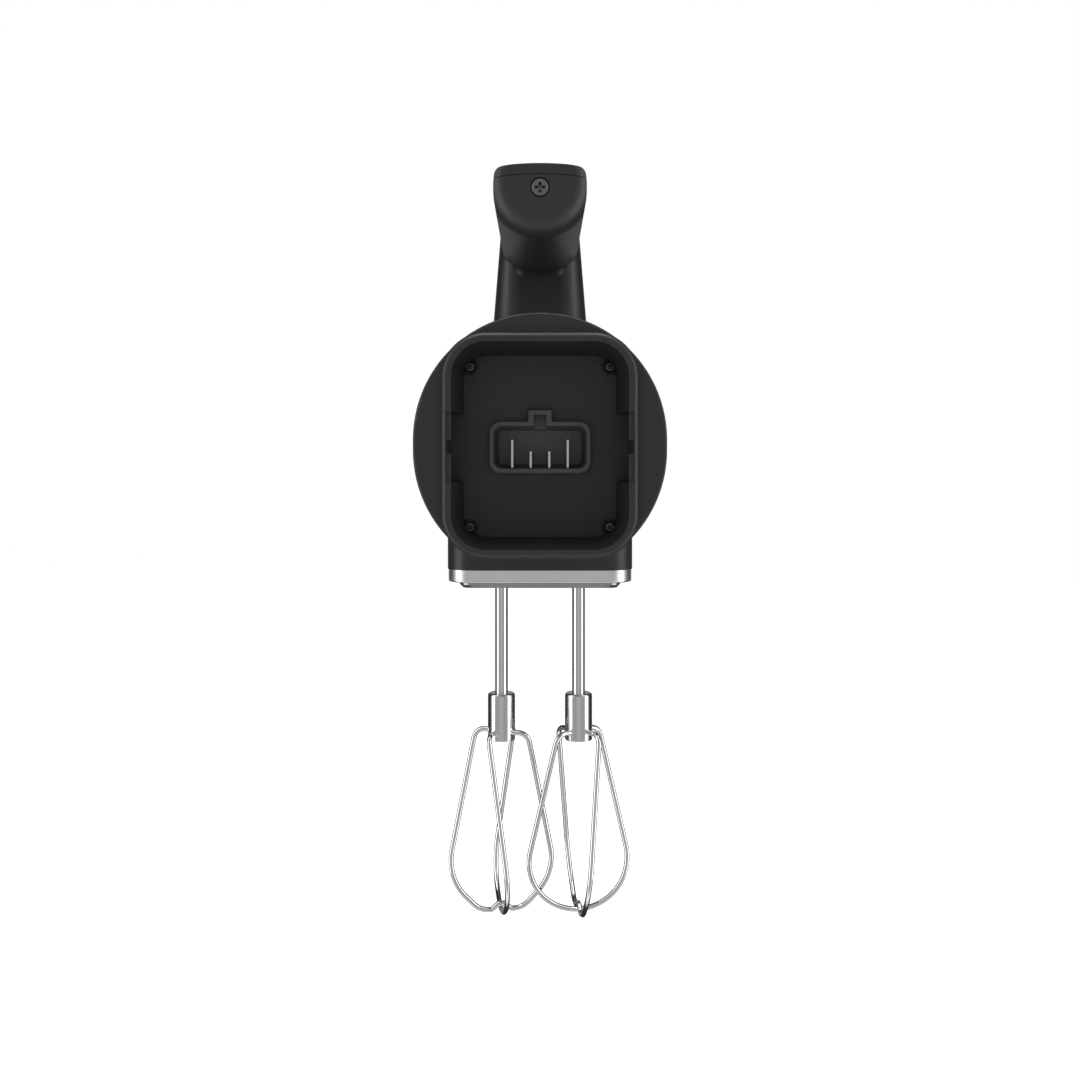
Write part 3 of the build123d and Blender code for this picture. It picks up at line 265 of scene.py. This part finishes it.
SLOT_FINISHES = {               # how each material slot is made: colour, then roughness, grain and reach of painted recess shade
    "shell_plastic": (moulded_plastic, CHARCOAL, 0.40),
    "grip_plastic": (moulded_plastic, CHARCOAL, 0.38),
    "control_plastic": (moulded_plastic, CONTROL_GREY, 0.38),
    "brushed_steel": (brushed_steel, (0.90, 0.89, 0.88)),
    "polished_steel": (polished_steel, (0.86, 0.86, 0.86)),
    "dark_screw_steel": (plated_metal, (0.22, 0.22, 0.225), 0.42, 900.0, SCREW_SLOT_SHADE_REACH),
    "blade_metal": (plated_metal, (0.97, 0.96, 0.93), 0.38, 900.0),
    "cast_alloy": (plated_metal, (0.55, 0.56, 0.57), 0.45, 700.0),
    "bush_bronze": (plated_metal, (0.60, 0.40, 0.20), 0.38, 1500.0),
    "seal_rubber": (dull_solid, (0.02, 0.02, 0.02), 0.7),
    "motor_steel": (plated_metal, (0.50, 0.50, 0.51), 0.30, 400.0),
    "magnet_ferrite": (dull_solid, (0.045, 0.045, 0.05), 0.55),
    "gear_plastic": (dull_solid, (0.78, 0.76, 0.70), 0.42),
    "copper": (plated_metal, (0.72, 0.36, 0.20), 0.30, 300.0),
    "spring_steel": (plated_metal, (0.62, 0.62, 0.62), 0.25, 900.0),
    "circuit_board": (dull_solid, (0.03, 0.16, 0.07), 0.4),
}
slot_materials = {slot: make(slot, *look) for slot, (make, *look) in SLOT_FINISHES.items()}
slot_of = {part["node"]: part["material_slot"] for part in record["subparts"]}

collar_steel = turned_steel("turned_steel", (0.84, 0.84, 0.84))
own_finish = {                  # nodes that don't look like the rest of their slot
    "beater_left_collar": collar_steel,
    "beater_right_collar": collar_steel,
    "connector_housing": moulded_plastic("connector_plastic", CONNECTOR_GREY, 0.38),
    "base_plate": plated_metal("satin_plate", (0.50, 0.495, 0.49), 0.30, 1200.0),
}

for name, node in nodes.items():
    finish = own_finish.get(name) or slot_materials[slot_of[name]]
    for holder in node.material_slots:
        holder.material = finish


# ---- eject spring -------------------------------------------------------------------------------

coil_mesh = nodes["eject_spring"].data.copy()
eject_coil = bpy.data.objects.new("eject_coil", coil_mesh)
bpy.context.scene.collection.objects.link(eject_coil)
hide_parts("eject_spring")
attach(eject_coil, "body")
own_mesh(eject_coil)


# ---- stage and light ----------------------------------------------------------------------------

FLOOR_DROP = 0.15               # gap under the beaters, which hang free
FLOOR_HALF = 3                  # half the floor's width and depth
FLOOR_GLOW = 0.72
PALE = (0.9, 0.9, 0.9, 1)
WHITE = (1, 1, 1, 1)
WORLD_LEVELS = (                # brightness by where a direction points: 0 is the dock end, 1 the nose
    (0.0, 0.46), (0.08, 0.32), (0.20, 0.42), (0.30, 1.0),
    (0.44, 1.0), (0.57, 0.03), (0.84, 0.03), (1.0, 0.30))
LIGHT_TARGET = (0, 0, 0.03)
SIDE_BOX_OUT = 0.9              # how far each side light stands from the mixer's middle plane
SIDE_BOX_Y = -0.35
SIDE_BOX_HEIGHT = 0.02
SIDE_BOX_SIZE = (0.30, 1.3)
SIDE_BOX_POWER = 2.2
TOP_BOX_PLACE = (0, -0.15, 1.1)
TOP_BOX_SIZE = (1.0, 0.5)
TOP_BOX_POWER = 5.0


def studio_world():
    """White to the camera. Its light is grey, with bright sides near the dock and dark ones near the nose."""
    world = bpy.data.worlds.new("studio")
    bpy.context.scene.world = world
    world.use_nodes = True
    tree = world.node_tree
    tree.nodes.clear()
    make = tree.nodes.new
    link = tree.links.new
    direction = make("ShaderNodeTexCoord")
    split = make("ShaderNodeSeparateXYZ")
    link(direction.outputs["Generated"], split.inputs[0])
    shift = make("ShaderNodeMapRange")
    shift.inputs["From Min"].default_value = -1.0
    link(split.outputs["Y"], shift.inputs["Value"])
    ramp = make("ShaderNodeValToRGB")
    link(shift.outputs[0], ramp.inputs[0])
    stops = ramp.color_ramp.elements
    for stop, (position, level) in ((stops[0], WORLD_LEVELS[0]), (stops[1], WORLD_LEVELS[-1])):
        stop.position = position
        stop.color = (level, level, level, 1)
    for position, level in WORLD_LEVELS[1:-1]:
        stops.new(position).color = (level, level, level, 1)
    path = make("ShaderNodeLightPath")
    soft = make("ShaderNodeBackground")
    link(ramp.outputs[0], soft.inputs["Color"])
    white = make("ShaderNodeBackground")
    white.inputs["Color"].default_value = WHITE
    blend = make("ShaderNodeMixShader")
    out = make("ShaderNodeOutputWorld")
    link(path.outputs["Is Camera Ray"], blend.inputs[0])
    link(soft.outputs[0], blend.inputs[1])
    link(white.outputs[0], blend.inputs[2])
    link(blend.outputs[0], out.inputs["Surface"])


def floor():
    """A pale floor below the beaters, kept out of the reflections in the steel."""
    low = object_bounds()[0][2] - FLOOR_DROP
    corners = [(-FLOOR_HALF, -FLOOR_HALF, low), (FLOOR_HALF, -FLOOR_HALF, low),
               (FLOOR_HALF, FLOOR_HALF, low), (-FLOOR_HALF, FLOOR_HALF, low)]
    mesh = bpy.data.meshes.new("floor")
    mesh.from_pydata(corners, [], [(0, 1, 2, 3)])
    ground = bpy.data.objects.new("floor", mesh)
    bpy.context.scene.collection.objects.link(ground)
    paint = bpy.data.materials.new("floor")
    paint.use_nodes = True
    bsdf = paint.node_tree.nodes["Principled BSDF"]
    bsdf.inputs["Base Color"].default_value = PALE
    bsdf.inputs["Roughness"].default_value = 0.9
    bsdf.inputs["Emission Color"].default_value = WHITE
    bsdf.inputs["Emission Strength"].default_value = FLOOR_GLOW
    mesh.materials.append(paint)
    ground.visible_glossy = False
    ground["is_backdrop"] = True


def area_light(name, place, size, power):
    data = bpy.data.lights.new(name, "AREA")
    data.shape = "RECTANGLE"
    data.size = size[0]
    data.size_y = size[1]
    data.energy = power
    light = bpy.data.objects.new(name, data)
    light.location = place
    aim = Vector(LIGHT_TARGET) - Vector(place)
    light.rotation_euler = aim.to_track_quat("-Z", "Y").to_euler()
    bpy.context.scene.collection.objects.link(light)


studio_world()
floor()
for name, side in (("left_box", -1), ("right_box", 1)):
    place = (side * SIDE_BOX_OUT, SIDE_BOX_Y, SIDE_BOX_HEIGHT)
    area_light(name, place, SIDE_BOX_SIZE, SIDE_BOX_POWER)
area_light("top_box", TOP_BOX_PLACE, TOP_BOX_SIZE, TOP_BOX_POWER)
